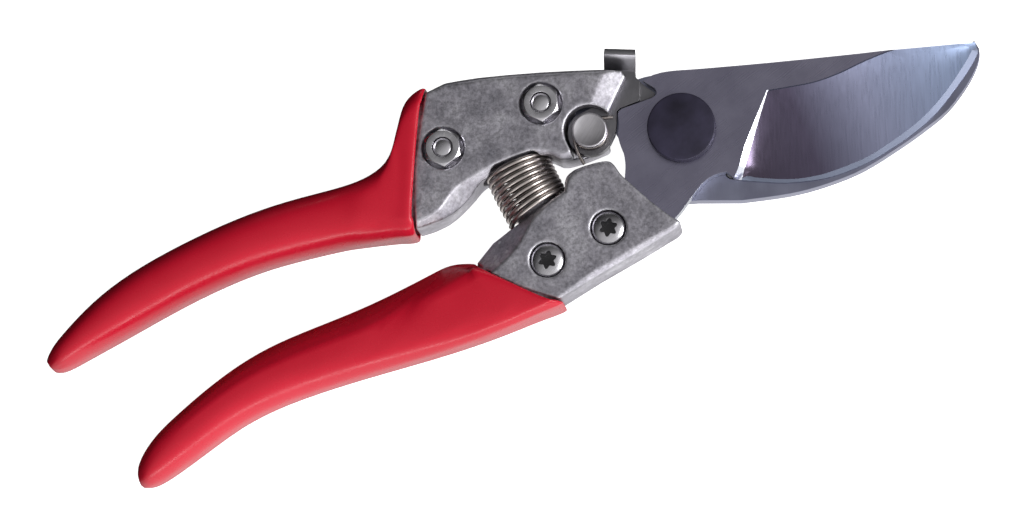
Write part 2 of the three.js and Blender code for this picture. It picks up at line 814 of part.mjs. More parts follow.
// The two parts of a line meet in a corner at the end of the shoulder.
function grindLine(points) {
  const line = stretchBlade(points);
  const parts = [line.slice(0, shoulderEnd + 1), line.slice(shoulderEnd)];
  const [shoulder, rest] = parts.map((part) => smoothRun(part, grindParts));
  return [...shoulder, ...rest.slice(1)];
}

function grindCutter() {
  const starts = grindLine(grindStarts);
  const ends = grindLine(grindEnds);
  const thinFrom = 10;
  const rings = starts.map((start, i) => {
    const end = ends[i];
    const place = i / grindParts;
    const steep = Math.max(0, 1 - place / shoulderEnd);
    const thin = Math.max(0, place - thinFrom) / (grindStarts.length - 1 - thinFrom);
    const length = start.distanceTo(end);
    const width = Math.min(0.2 + (shoulderWidth - 0.2) * steep, length / 4);
    const drop = grindStep + shoulderDrop * steep;
    const foot = bladeTop - drop - thin * (bladeThickness - tipThickness - grindStep);
    const bevelTop = bladeFloor + edgeThickness + edgeBevelRise;
    const bevelAt = length - Math.min(edgeOver + edgeBevel, length / 2);
    const at = (far, z) => lift(start.clone().lerp(end, far / length), z);
    const floor = (share, sag) => at(width + (bevelAt - width) * share, foot + (bevelTop - foot) * share - sag);
    return [
      at(-width / 10, bladeTop + drop / 10),
      at(width, foot),
      floor(0.25, grindHollow * 0.75),
      floor(0.5, grindHollow),
      floor(0.75, grindHollow * 0.75),
      at(bevelAt, bevelTop),
      at(length, bevelTop - (edgeBevelRise * (length - bevelAt)) / edgeBevel),
      at(length, bladeTop + 2),
      at(-width / 10, bladeTop + 2),
    ];
  });
  return toSolid(skin(rings, fan(9), fan(9)));
}

function cuttingBlade() {
  const lipped = outline([spineRun, lipTop, lipRun, rearRun, edgeRun].map(stretchBlade), bladeParts);
  const open = outline([spineRun, openNotchRun, rearRun, edgeRun].map(stretchBlade), bladeParts);
  const split = bladeTop - notchLip;
  let solid = toSolid(plate(open, bladeFloor, split)).add(toSolid(plate(lipped, split, bladeTop)));
  solid = solid.subtract(grindCutter());
  solid = solid.subtract(toSolid(disc([0, 0], pivotNeckRadius + bearingGap, bladeFloor - 1, bladeTop + 1, 32)));
  return toGeometry(boltHoles(screwPlaces, solid));
}

// ---------------------------------------------------------------- pivot
function pivotBolt() {
  const rim = pivotHeadTop - pivotHeadCrown;
  const profile = [
    [0, 0],
    [pivotThreadRadius - 0.5, 0],
    [pivotThreadRadius, 0.5],
    [pivotThreadRadius, hookFloor],
    [pivotNeckRadius, hookFloor],
    [pivotNeckRadius, pivotHeadFloor],
    [pivotHeadRadius - 0.3, pivotHeadFloor],
    [pivotHeadRadius, pivotHeadFloor + 0.3],
    [pivotHeadRadius, rim - 0.3],
    [pivotHeadRadius - 0.4, rim],
    [pivotHeadRadius * 0.6, pivotHeadTop - 0.12],
    [0, pivotHeadTop],
  ];
  const body = toSolid(turned(profile, [0, 0], 28));
  const span = hookTop - hookFloor;
  const key = new THREE.BoxGeometry(20, pivotKeyWidth, span).translate(0, 0, hookFloor + span / 2);
  const band = new THREE.BoxGeometry(20, 20, span).translate(0, 0, hookFloor + span / 2);
  return toGeometry(body.subtract(toSolid(band).subtract(toSolid(key))));
}

function toothedOutline(radius, root, teeth) {
  const step = 360 / teeth;
  return Array.from({ length: teeth }, (_, i) => [
    [root, -0.3],
    [radius, -0.16],
    [radius, 0.16],
    [root, 0.3],
  ].map(([r, share]) => circlePoints([0, 0], r, 2, keeperAngle + step * (i + 0.5 + share), 0)[0])).flat();
}

function pivotNut() {
  const points = toothedOutline(pivotNutRadius, pivotNutRoot, pivotNutTeeth);
  const low = hookFloor - pivotNutHeight;
  const body = toSolid(plate(points, low, hookFloor));
  const bore = disc([0, 0], pivotThreadRadius + boltGap, low - 1, hookFloor + 1);
  return toGeometry(body.subtract(toSolid(bore)));
}

function keeperPlace() {
  const angle = THREE.MathUtils.degToRad(keeperAngle);
  return [keeperReach * Math.cos(angle), keeperReach * Math.sin(angle)];
}

// Small plate whose point stands between two teeth of the pivot nut.
function keeperPlate() {
  const half = keeperWidth / 2;
  const point = pivotNutRoot + castGap;
  const rows = [
    [point, -0.25],
    [pivotNutRadius + 0.6, -1.0],
    [pivotNutRadius + 1.5, -half],
    [keeperReach + 2.2, -half],
    [keeperReach + half, -half + 1.2],
    [keeperReach + half, half - 1.2],
    [keeperReach + 2.2, half],
    [pivotNutRadius + 1.5, half],
    [pivotNutRadius + 0.6, 1.0],
    [point, 0.25],
  ];
  const turn = THREE.MathUtils.degToRad(keeperAngle);
  const points = rows.map(([x, y]) => new THREE.Vector2(x, y).rotateAround(new THREE.Vector2(0, 0), turn));
  const low = hookFloor - keeperThickness;
  const body = toSolid(plate(points, low, hookFloor));
  const hole = disc(keeperPlace(), keeperScrewRadius + boltGap, low - 1, hookFloor + 1, 16);
  return toGeometry(body.subtract(toSolid(hole)));
}

function keeperScrew() {
  const low = hookFloor - keeperThickness;
  const foot = low - keeperHeadHeight;
  const profile = [
    [0, foot],
    [keeperHeadRadius - 0.5, foot],
    [keeperHeadRadius, foot + 0.5],
    [keeperHeadRadius, low],
    [keeperScrewRadius, low],
    [keeperScrewRadius, hookTop - castGap],
    [0, hookTop - castGap],
  ];
  const place = keeperPlace();
  const slot = new THREE.BoxGeometry(2 * keeperHeadRadius + 1, 0.8, 1.2);
  slot.translate(place[0], place[1], foot);
  return toGeometry(toSolid(turned(profile, place, 20)).subtract(toSolid(slot)));
}

// ---------------------------------------------------------------- bolts and nuts
// Bolt with a domed six-lobe head; the head's outer end is at headEnd, the shank's at shankEnd.
function lobedBolt(headEnd, shankEnd) {
  const side = Math.sign(shankEnd - headEnd);
  const seat = headEnd + side * boltHeadHeight;
  const rim = seat - side * boltHeadRim;
  const profile = [
    [0, headEnd],
    [boltHeadRadius * 0.62, headEnd + side * 0.2],
    [boltHeadRadius * 0.9, rim - side * 0.25],
    [boltHeadRadius, rim],
    [boltHeadRadius, seat],
    [boltRadius, seat],
    [boltRadius, shankEnd - side * 0.4],
    [boltRadius - 0.4, shankEnd],
    [0, shankEnd],
  ];
  const rows = side > 0 ? profile : profile.reverse();
  const pocket = [headEnd - side, headEnd + side * lobeDepth].sort((a, b) => a - b);
  return toGeometry(toSolid(turned(rows, [0, 0])).subtract(toSolid(sixLobe([0, 0], ...pocket))));
}

function hexNut() {
  const corner = nutWidth / Math.sqrt(3);
  const body = toSolid(disc([0, 0], corner, 0, nutHeight, 6));
  const chamfer = 0.55;
  const profile = [
    [0, 0],
    [nutWidth / 2 - 0.1, 0],
    [corner + 0.1, chamfer],
    [corner + 0.1, nutHeight - chamfer],
    [nutWidth / 2 - 0.1, nutHeight],
    [0, nutHeight],
  ];
  const bore = disc([0, 0], boltRadius + boltGap, -1, nutHeight + 1, 16);
  const solid = body.intersect(toSolid(turned(profile, [0, 0], 12))).subtract(toSolid(bore));
  return toGeometry(solid).rotateZ(THREE.MathUtils.degToRad(nutTurn));
}

// ---------------------------------------------------------------- latch
function bendLine() {
  const heading = THREE.MathUtils.degToRad(tabHeading);
  const across = new THREE.Vector2(Math.sin(heading), -Math.cos(heading)).multiplyScalar(tabWidth / 2);
  const middle = new THREE.Vector2(...bendMiddle);
  return [middle.clone().add(across), middle.clone().sub(across)];
}

function latchTab() {
  const [right, left] = bendLine();
  const heading = THREE.MathUtils.degToRad(tabHeading);
  const rise = THREE.MathUtils.degToRad(tabRise);
  const ahead = new THREE.Vector3(
    Math.cos(heading) * Math.cos(rise),
    Math.sin(heading) * Math.cos(rise),
    Math.sin(rise),
  );
  const up = new THREE.Vector3(
    -Math.cos(heading) * Math.sin(rise),
    -Math.sin(heading) * Math.sin(rise),
    Math.cos(rise),
  );
  const level = new THREE.Vector3(Math.cos(heading), Math.sin(heading), 0);
  const ring = (base) => {
    const top = lift(base, latchTop);
    const under = top.clone().addScaledVector(up, -tabThickness);
    return [
      lift(base, latchFloor + 0.1).addScaledVector(level, -0.5),
      under,
      under.clone().addScaledVector(ahead, tabLength),
      top.clone().addScaledVector(ahead, tabLength),
      top,
      lift(base, latchTop - 0.1).addScaledVector(level, -0.5),
    ];
  };
  return toSolid(skin([ring(right), ring(left)], fan(6), fan(6)));
}

function lockLever() {
  const [right, left] = bendLine();
  const hub = circlePoints(pinPlace, latchHubRadius, 14, ...latchHubArc);
  const points = [right, left, ...outline([latchNeckRun], 2), ...hub, ...outline([latchNoseRun], 2)];
  let solid = toSolid(plate(points, latchFloor, latchTop)).add(latchTab());
  const [a, b] = noseStep.map(([x, y]) => new THREE.Vector2(x, y));
  const step = [a, b, new THREE.Vector2(b.x + 8, b.y), new THREE.Vector2(a.x + 6, a.y)];
  solid = solid.subtract(toSolid(plate(step, latchFloor + noseThickness, latchTop + 0.01)));
  const hole = disc(pinPlace, pinRadius + bearingGap, latchFloor - 1, latchTop + 1, 20);
  return toGeometry(solid.subtract(toSolid(hole)));
}

function lockPin() {
  const top = pinHeadFloor + pinHeadHeight;
  const profile = [
    [0, frameFloor - pinFootHeight],
    [pinFootRadius - 0.3, frameFloor - pinFootHeight],
    [pinFootRadius, frameFloor - pinFootHeight + 0.3],
    [pinFootRadius, frameFloor],
    [pinRadius, frameFloor],
    [pinRadius, pinHeadFloor],
    [pinHeadRadius, pinHeadFloor],
    [pinHeadRadius, top - 0.25],
    [pinHeadRadius - 0.25, top],
    [0, top],
  ];
  return turned(profile, pinPlace, 20);
}

// ---------------------------------------------------------------- springs
function wire(points, radius, steps, sides) {
  const path = new THREE.CatmullRomCurve3(points, false, "centripetal");
  const shape = new THREE.Shape(circlePoints([0, 0], radius, sides));
  return new THREE.ExtrudeGeometry(shape, { steps, bevelEnabled: false, extrudePath: path });
}

function lockSpring() {
  const [x, y] = pinPlace;
  const low = latchTop + lockWireRadius + 0.15;
  const high = pinHeadFloor - lockWireRadius - 0.1;
  const from = 35;
  const turns = Math.round(lockSpringTurns * 12);
  const coil = Array.from({ length: turns + 1 }, (_, i) => {
    const angle = THREE.MathUtils.degToRad(from + (i / 12) * 360);
    const z = low + ((high - low) * i) / turns;
    return new THREE.Vector3(x + lockSpringRadius * Math.cos(angle), y + lockSpringRadius * Math.sin(angle), z);
  });
  const latchLeg = new THREE.Vector3(...latchLegEnd, low);
  const frameLeg = frameLegRun.map((p, i) => new THREE.Vector3(...p, high - 0.25 * (i + 1)));
  return wire([latchLeg, ...coil, ...frameLeg], lockWireRadius, turns + 4, 5);
}

// Compression spring on a bowed axis between its two seats.
function mainSpring() {
  const bend = THREE.MathUtils.degToRad(mainSpringBend);
  const top = new THREE.Vector2(...springTop);
  const foot = new THREE.Vector2(...springFoot);
  const inset = castGap + mainWireRadius;
  const length = top.distanceTo(foot) - 2 * inset;
  const stepsPerTurn = 12;
  const count = mainSpringTurns * stepsPerTurn;
  const points = Array.from({ length: count + 1 }, (_, i) => {
    const share = i / count;
    const lean = bend * share;
    const middle = top.clone().lerp(foot, (inset + length * share) / (length + 2 * inset));
    const bow = (length * bend) / 8;
    middle.x -= 4 * bow * share * (1 - share) * 0.5;
    const turn = share * mainSpringTurns * 2 * Math.PI;
    const side = mainSpringRadius * Math.cos(turn);
    const x = middle.x + side * Math.cos(lean);
    const y = middle.y + side * Math.sin(lean);
    return new THREE.Vector3(x, y, frameMiddle + mainSpringRadius * Math.sin(turn));
  });
  return wire(points, mainWireRadius, count, 5);
}

// ---------------------------------------------------------------- assembly
const finishes = {
  casting: { color: 0x8a8a90, roughness: 0.5, metalness: 0.9 },
  vinyl: { color: 0xc0142c, roughness: 0.35, metalness: 0.0 },
  chromed: { color: 0xb4b6bc, roughness: 0.22, metalness: 1.0 },
  hookSteel: { color: 0x9a9ca2, roughness: 0.3, metalness: 1.0 },
  blackened: { color: 0x1b1b20, roughness: 0.4, metalness: 0.7 },
  zinc: { color: 0xc4c6c8, roughness: 0.3, metalness: 1.0 },
  spring: { color: 0x2c2c30, roughness: 0.35, metalness: 0.9 },
  latchSteel: { color: 0x6c6c70, roughness: 0.4, metalness: 1.0 },
};

function piece(name, geometry, finish, place = [0, 0, 0]) {
  const mesh = new THREE.Mesh(geometry, new THREE.MeshStandardMaterial(finishes[finish]));
  mesh.name = name;
  mesh.position.set(...place);
  return mesh;
}

const hookStations = stretchGrip(hookGripStations, hookGripRoot);
const cutterStations = stretchGrip(cutterGripStations, cutterGripRoot);
const hookBoltHead = frameFloor + hookBoltSeat - boltHeadHeight;
const hookNutFloor = frameTop - nutSpotDepth;
const screwHeadTop = frameTop - screwHeadSeat + boltHeadHeight;
const screwNutFloor = frameFloor + screwNutSeat - nutHeight;

const hookSide = new THREE.Group();
hookSide.name = "hook_side";
hookSide.add(piece("hook_frame", hookFrame(hookStations), "casting"));
hookSide.add(piece("hook_grip", grip(hookStations), "vinyl"));
hookSide.add(piece("hook_blade", hookBlade(), "hookSteel"));
hookSide.add(piece("pivot_bolt", pivotBolt(), "blackened"));
hookSide.add(piece("pivot_nut", pivotNut(), "zinc"));
hookSide.add(piece("pivot_keeper", keeperPlate(), "zinc"));
hookSide.add(piece("pivot_keeper_screw", keeperScrew(), "zinc"));
hookSide.add(piece("lock_pin", lockPin(), "zinc"));
hookSide.add(piece("lock_spring", lockSpring(), "spring"));
hookSide.add(piece("main_spring", mainSpring(), "spring"));

const cutterSide = new THREE.Group();
cutterSide.name = "cutter_side";
cutterSide.add(piece("cutter_frame", cutterFrame(cutterStations), "casting"));
cutterSide.add(piece("cutter_grip", grip(cutterStations), "vinyl"));
cutterSide.add(piece("cutting_blade", cuttingBlade(), "chromed"));

["front", "rear"].forEach((label, i) => {
  const [hx, hy] = hookBoltPlaces[i];
  const bolt = lobedBolt(hookBoltHead, hookNutFloor + nutHeight - castGap);
  hookSide.add(piece(`hook_bolt_${label}`, bolt, "zinc", [hx, hy, 0]));
  hookSide.add(piece(`hook_nut_${label}`, hexNut(), "zinc", [hx, hy, hookNutFloor]));
  const [sx, sy] = screwPlaces[i];
  const screw = lobedBolt(screwHeadTop, screwNutFloor + castGap);
  cutterSide.add(piece(`blade_screw_${label}`, screw, "zinc", [sx, sy, 0]));
  cutterSide.add(piece(`blade_nut_${label}`, hexNut(), "zinc", [sx, sy, screwNutFloor]));
});

const latch = new THREE.Group();
latch.name = "latch";
latch.add(piece("lock_lever", lockLever(), "latchSteel"));

const pruner = new THREE.Group();
pruner.name = "bypass_pruner";
pruner.add(hookSide, cutterSide, latch);

export default pruner;
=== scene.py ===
import math

import bpy
from mathutils import Matrix, Vector


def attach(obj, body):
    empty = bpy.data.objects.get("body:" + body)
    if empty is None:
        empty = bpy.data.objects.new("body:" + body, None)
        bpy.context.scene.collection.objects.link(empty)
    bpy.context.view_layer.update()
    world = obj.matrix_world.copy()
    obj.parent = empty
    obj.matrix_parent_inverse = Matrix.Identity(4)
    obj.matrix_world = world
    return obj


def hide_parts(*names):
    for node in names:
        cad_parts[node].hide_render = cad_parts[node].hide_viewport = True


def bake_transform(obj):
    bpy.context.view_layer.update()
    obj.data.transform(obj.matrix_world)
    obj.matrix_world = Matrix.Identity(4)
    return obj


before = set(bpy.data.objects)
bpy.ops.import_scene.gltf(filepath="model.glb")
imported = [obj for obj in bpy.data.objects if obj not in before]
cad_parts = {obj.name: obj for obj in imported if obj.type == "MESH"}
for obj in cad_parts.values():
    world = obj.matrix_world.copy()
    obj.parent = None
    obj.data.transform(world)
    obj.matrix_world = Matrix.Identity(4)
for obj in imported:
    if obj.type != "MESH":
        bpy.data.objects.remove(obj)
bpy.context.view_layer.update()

# Bypass pruner lying on a pale table. Metres, +X to the blade tip, +Z along the pivot axis.
MM = 0.001

# ---------------------------------------------------------------- sizes, millimetres
TOOL_MIDDLE = 7.9
# Bolts, screws and nuts of the two frames: places in the plane, seats and ends as heights.
HOOK_BOLTS = ((-24.9, 15.1), (-46.9, 13.9))
HOOK_BOLT_HEAD = 0.3
HOOK_NUT_FLOOR = 13.0
BLADE_SCREWS = ((-21.4, -14.0), (-35.3, -15.6))
SCREW_HEAD_TOP = 14.5
SCREW_NUT_FLOOR = 1.6
NUT_FLATS = 7.0
NUT_HEIGHT = 2.8
NUT_CHAMFER = 0.5
NUT_WASHER_FACE = 0.12  # the round faces stop this far inside the flats
NUT_TURN = 15  # degrees
BOLT_RADIUS = 2.0
BOLT_PLAY = 0.15
BOLT_SHORT = 0.3  # from the bolt's end to the nut's outer face
BOLT_ROUNDING = 0.45
HEAD_RADIUS = 3.4
HEAD_HEIGHT = 2.3
HEAD_DOME = 0.95
HEAD_EDGE = 0.1
LOBE_RADIUS = 1.95
LOBE_DEPTH = 1.5
LOBE_WAVE = 0.16  # share of the radius
# Pivot bolt and the latch's rivet.
PIVOT_RADIUS = 7.0
PIVOT_TOP = 14.3
PIVOT_CROWN = 0.32
PIVOT_ROUNDING = 0.3
PIN = (-17.7, 6.3)
PIN_RADIUS = 3.65
PIN_TOP = 14.02
# Blade: front face, thickness, broken corners up to RIM_END along X, and the heights and the
# line across the blade that part its ground faces.
BLADE_TOP = 11.15
BLADE_THICKNESS = 3.2
BLADE_RIM = 0.32
RIM_END = 40
GRIND_TOP = 11.12
STEP_FOOT = 10.8
MICRO_BEVEL_TOP = 8.86
BACK_SKIN = 7.99
SHOULDER_LINE = 14.6
SHOULDER_SIDE = (0.783, -0.622, 0.0)
# Springs.
SPRING_TOP = (-34.4, 6.8)
SPRING_FOOT = (-33.3, -4.9)
SPRING_RADIUS = 6.6
SPRING_WIRE = 0.55
SPRING_TURNS = 8.5
SPRING_BEND = 12  # degrees
SPRING_INSET = 0.85
LATCH_COIL = (11.1, 12.65)
LATCH_COIL_RADIUS = 3.45
LATCH_WIRE = 0.33
# Edges of the vinyl that stay as ridges are bent by more than this, in degrees.
RIDGE_BEND = 9
# Step of the castings' softened skin, and how close corners and levels count as one.
SKIN_STEP = 0.28
CLOSE = 0.002
SAME_LEVEL = 0.02
SPARE = 1.0  # how far a cutting tool reaches past what it cuts


# ---------------------------------------------------------------- small tools
def linear(code):
    """An sRGB hex colour as linear red, green, blue and alpha."""
    parts = [int(code[i:i + 2], 16) / 255 for i in (1, 3, 5)]
    return tuple(c / 12.92 if c <= 0.04045 else ((c + 0.055) / 1.055) ** 2.4 for c in parts) + (1.0,)


def node(tree, kind, links=None, **settings):
    """Adds a node, sets its properties, sockets and colour stops, and links its inputs."""
    made = tree.nodes.new("ShaderNode" + kind)
    for name, value in settings.items():
        if name == "stops":
            marks = made.color_ramp.elements
            while len(marks) < len(value):
                marks.new(0.5)
            for mark, (place, colour) in zip(marks, value):
                mark.position = place
                mark.color = colour
        elif name.startswith("in_"):
            key = name[3:]
            key = int(key) if key.isdigit() else key.replace("_", " ")
            made.inputs[key].default_value = value
        else:
            setattr(made, name, value)
    for key, socket in (links or {}).items():
        tree.links.new(socket, made.inputs[key])
    return made


def grey(value):
    """A linear grey with alpha."""
    return (value, value, value, 1.0)


def new_material(name):
    """A new material, its node tree and its shader."""
    made = bpy.data.materials.new(name)
    made.use_nodes = True
    tree = made.node_tree
    return made, tree, tree.nodes["Principled BSDF"]


def only(piece):
    """Makes one piece the only one selected."""
    if bpy.context.object and bpy.context.object.mode != "OBJECT":
        bpy.ops.object.mode_set(mode="OBJECT")
    bpy.ops.object.select_all(action="DESELECT")
    piece.select_set(True)
    bpy.context.view_layer.objects.active = piece


def edit(piece):
    """Opens a piece in edit mode with nothing selected."""
    only(piece)
    bpy.ops.object.mode_set(mode="EDIT")
    bpy.ops.mesh.select_all(action="DESELECT")


def done():
    """Closes edit mode."""
    bpy.ops.object.mode_set(mode="OBJECT")


def modify(piece, kind, **settings):
    """Adds a modifier, sets it and applies it."""
    only(piece)
    made = piece.modifiers.new(kind.lower(), kind)
    for name, value in settings.items():
        setattr(made, name, value)
    bpy.ops.object.modifier_apply(modifier=made.name)


def smooth(piece, degrees):
    """Smooth shading up to an angle; the wide faces keep their own direction."""
    only(piece)
    bpy.ops.object.shade_smooth_by_angle(angle=math.radians(degrees))
    modify(piece, "WEIGHTED_NORMAL", keep_sharp=True, weight=80)


def dress(piece, material):
    """Gives a piece one finish all over."""
    piece.data.materials.clear()
    piece.data.materials.append(material)


def settle(piece, name, body, material, packed):
    """Names a finished piece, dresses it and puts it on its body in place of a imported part."""
    piece.name = name
    piece.data.name = name
    only(piece)
    bpy.ops.object.transform_apply(location=True, rotation=True, scale=True)
    dress(piece, material)
    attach(piece, body)
    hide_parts(packed)


def copy_of(name):
    """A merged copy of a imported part, with its loose triangles joined up."""
    piece = bpy.data.objects.new(name + "_copy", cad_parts[name].data.copy())
    bpy.context.scene.collection.objects.link(piece)
    edit(piece)
    bpy.ops.mesh.select_all(action="SELECT")
    bpy.ops.mesh.remove_doubles(threshold=CLOSE * MM)
    done()
    return piece


def plain_faces(piece, degrees=0.5):
    """Joins triangles that lie in one plane, and drops slivers."""
    edit(piece)
    bpy.ops.mesh.select_all(action="SELECT")
    bpy.ops.mesh.dissolve_limited(angle_limit=math.radians(degrees))
    bpy.ops.mesh.select_all(action="SELECT")
    bpy.ops.mesh.dissolve_degenerate(threshold=SAME_LEVEL * MM)
    done()


def bevelled(piece, width, segments=2, degrees=35):
    """Rounds every edge sharper than an angle."""
    modify(piece, "BEVEL", width=width * MM, segments=segments, limit_method="ANGLE",
           angle_limit=math.radians(degrees), harden_normals=False, miter_outer="MITER_ARC")


def turned(place, profile, sides):
    """A turned piece: one point drawn out along a profile of radius and height, then spun."""
    bpy.ops.object.select_all(action="DESELECT")
    bpy.ops.mesh.primitive_plane_add(size=0.001, location=(0, 0, 0))
    piece = bpy.context.object
    bpy.context.tool_settings.mesh_select_mode = (True, False, False)
    bpy.ops.object.mode_set(mode="EDIT")
    bpy.ops.mesh.select_all(action="SELECT")
    bpy.ops.mesh.merge(type="CENTER")
    spots = [Vector((place[0] + radius, place[1], height)) * MM for radius, height in profile]
    bpy.ops.transform.translate(value=spots[0])
    for before, after in zip(spots, spots[1:]):
        bpy.ops.mesh.extrude_region_move(TRANSFORM_OT_translate={"value": after - before})
    bpy.ops.mesh.select_all(action="SELECT")
    bpy.ops.mesh.spin(steps=sides, angle=math.tau, center=(place[0] * MM, place[1] * MM, 0), axis=(0, 0, 1))
    bpy.ops.mesh.select_all(action="SELECT")
    bpy.ops.mesh.remove_doubles(threshold=CLOSE * MM)
    bpy.ops.mesh.normals_make_consistent(inside=False)
    done()
    return piece


def cylinder(place, low, high, radius, sides):
    """An upright bar, the start of a cutting tool."""
    bpy.ops.object.select_all(action="DESELECT")
    bpy.ops.mesh.primitive_cylinder_add(vertices=sides, radius=radius * MM, depth=(high - low) * MM,
                                        location=(place[0] * MM, place[1] * MM, (low + high) / 2 * MM))
    return bpy.context.object


def cut(piece, tool, operation="DIFFERENCE"):
    """Cuts one piece with another and removes the tool."""
    modify(piece, "BOOLEAN", object=tool, operation=operation, solver="EXACT")
    bpy.data.objects.remove(tool)


# ---------------------------------------------------------------- castings
def casting(name, stop, square):
    """Softened skin of a frame; the part of its core deep in the grip is left off."""
    piece = copy_of(name)
    edit(piece)
    bpy.ops.mesh.select_all(action="SELECT")
    bpy.ops.mesh.bisect(plane_co=Vector(stop) * MM, plane_no=square, use_fill=True, clear_inner=True)
    done()
    modify(piece, "REMESH", mode="VOXEL", voxel_size=SKIN_STEP * MM)
    modify(piece, "SMOOTH", factor=0.5, iterations=5)
    only(piece)
    bpy.ops.object.shade_smooth()
    return piece


# ---------------------------------------------------------------- blade
def blade_rims(piece):
    """Breaks the corners between the blade's two flat faces and its side walls."""
    edit(piece)
    bpy.context.tool_settings.mesh_select_mode = (False, True, False)
    bpy.ops.mesh.edges_select_sharp(sharpness=math.radians(75))
    done()
    spots = [corner.co.z / MM for corner in piece.data.vertices]
    for edge in piece.data.edges:
        heights = [spots[i] for i in edge.vertices]
        level = abs(heights[0] - heights[1]) < SAME_LEVEL
        drop = BLADE_TOP - heights[0]
        flat = abs(drop) < SAME_LEVEL or abs(drop - BLADE_THICKNESS) < SAME_LEVEL
        near = max(piece.data.vertices[i].co.x for i in edge.vertices) < RIM_END * MM
        edge.select = edge.select and level and flat and near
    bpy.ops.object.mode_set(mode="EDIT")
    bpy.ops.mesh.bevel(offset=BLADE_RIM * MM, offset_type="OFFSET", segments=2, affect="EDGES",
                       clamp_overlap=True)
    bpy.ops.mesh.select_all(action="SELECT")
    bpy.ops.mesh.normals_make_consistent(inside=False)
    done()


# ---------------------------------------------------------------- grips
def tightened(piece, rounds=3):
    """Moves the corners out until the subdivided skin passes through where they were."""
    aims = [corner.co.copy() for corner in piece.data.vertices]
    for _ in range(rounds):
        trial = bpy.data.objects.new("trial", piece.data.copy())
        bpy.context.scene.collection.objects.link(trial)
        modify(trial, "SUBSURF", levels=2, render_levels=2)
        for corner, aim, reached in zip(piece.data.vertices, aims, trial.data.vertices):
            corner.co += (aim - reached.co) * 0.9
        bpy.data.objects.remove(trial)


def dipped_grip(name, ridge, crease):
    """Smooth vinyl skin, its ridges held by a crease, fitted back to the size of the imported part."""
    piece = copy_of(name)
    edit(piece)
    bpy.ops.mesh.select_all(action="SELECT")
    bpy.ops.mesh.tris_convert_to_quads(face_threshold=math.radians(80), shape_threshold=math.radians(120))
    bpy.context.tool_settings.mesh_select_mode = (False, True, False)
    bpy.ops.mesh.select_all(action="DESELECT")
    done()
    sides = {}
    for face in piece.data.polygons:
        for key in face.edge_keys:
            sides.setdefault(key, []).append(face.normal.copy())
    for edge in piece.data.edges:
        one, other = sides[edge.key]
        both = one + other
        bent = one.angle(other, 0.0) > math.radians(RIDGE_BEND)
        edge.select = bent and both.dot(ridge) > 0.3 and abs(both.z) > 1.0
    bpy.ops.object.mode_set(mode="EDIT")
    bpy.ops.transform.edge_crease(value=crease)
    done()
    low = [min(corner.co[i] for corner in piece.data.vertices) for i in range(3)]
    high = [max(corner.co[i] for corner in piece.data.vertices) for i in range(3)]
    tightened(piece)
    modify(piece, "SUBSURF", levels=2, render_levels=2)
    spots = [corner.co.copy() for corner in piece.data.vertices]
    for i in range(3):
        start, end = min(spot[i] for spot in spots), max(spot[i] for spot in spots)
        for corner, spot in zip(piece.data.vertices, spots):
            corner.co[i] = low[i] + (spot[i] - start) * (high[i] - low[i]) / (end - start)
    only(piece)
    bpy.ops.object.shade_smooth()
    return piece


# ---------------------------------------------------------------- bolts and nuts
def hex_nut(place, low):
    """Hex nut with both faces chamfered round."""
    corner = NUT_FLATS / math.sqrt(3)
    flat = NUT_FLATS / 2 - NUT_WASHER_FACE
    wide = corner + 0.1
    high = low + NUT_HEIGHT
    piece = turned(place, [(0, low), (flat, low), (wide, low + NUT_CHAMFER), (wide, high - NUT_CHAMFER),
                           (flat, high), (0, high)], 96)
    bpy.ops.object.select_all(action="DESELECT")
    bpy.ops.mesh.primitive_cylinder_add(vertices=6, radius=corner * MM, depth=4 * NUT_HEIGHT * MM,
                                        location=(place[0] * MM, place[1] * MM, low * MM),
                                        rotation=(0, 0, math.radians(NUT_TURN - 30)))
    cut(piece, bpy.context.object, "INTERSECT")
    cut(piece, cylinder(place, low - SPARE, high + SPARE, BOLT_RADIUS + BOLT_PLAY, 48))
    bevelled(piece, 0.12, 3, 20)
    smooth(piece, 25)
    return piece


def lobe(place, low, high):
    """Six-lobed bar that cuts the recess for the key."""
    piece = cylinder(place, low, high, LOBE_RADIUS, 72)
    centre = Vector((place[0] * MM, place[1] * MM, 0))
    only(piece)
    bpy.ops.object.transform_apply(location=True, rotation=True, scale=True)
    for corner in piece.data.vertices:
        across = corner.co - centre
        angle = math.atan2(across.y, across.x)
        share = 1 - LOBE_WAVE + LOBE_WAVE * math.cos(6 * angle)
        corner.co.x = centre.x + across.x * share
        corner.co.y = centre.y + across.y * share
    return piece


def lobed_bolt(place, head_end, shank_end):
    """Domed bolt head with its recess, and a shank with a rounded end."""
    side = 1 if shank_end > head_end else -1
    seat = head_end + side * HEAD_HEIGHT
    dome = [(HEAD_RADIUS * math.sin(t), head_end + side * HEAD_DOME * (1 - math.cos(t)))
            for t in (math.radians(12 * i) for i in range(8))]
    dome[-1] = (HEAD_RADIUS, dome[-1][1])
    under = [(HEAD_RADIUS, seat - side * HEAD_EDGE), (HEAD_RADIUS - HEAD_EDGE, seat), (BOLT_RADIUS, seat)]
    tail = [(BOLT_RADIUS * math.cos(t), shank_end - side * BOLT_ROUNDING * (1 - math.sin(t)))
            for t in (math.radians(22.5 * i) for i in range(4))]
    piece = turned(place, dome + under + tail + [(0, shank_end)], 72)
    low, high = sorted((head_end - side * SPARE, head_end + side * LOBE_DEPTH))
    cut(piece, lobe(place, low, high))
    bevelled(piece, 0.1, 2, 45)
    smooth(piece, 35)
    return piece


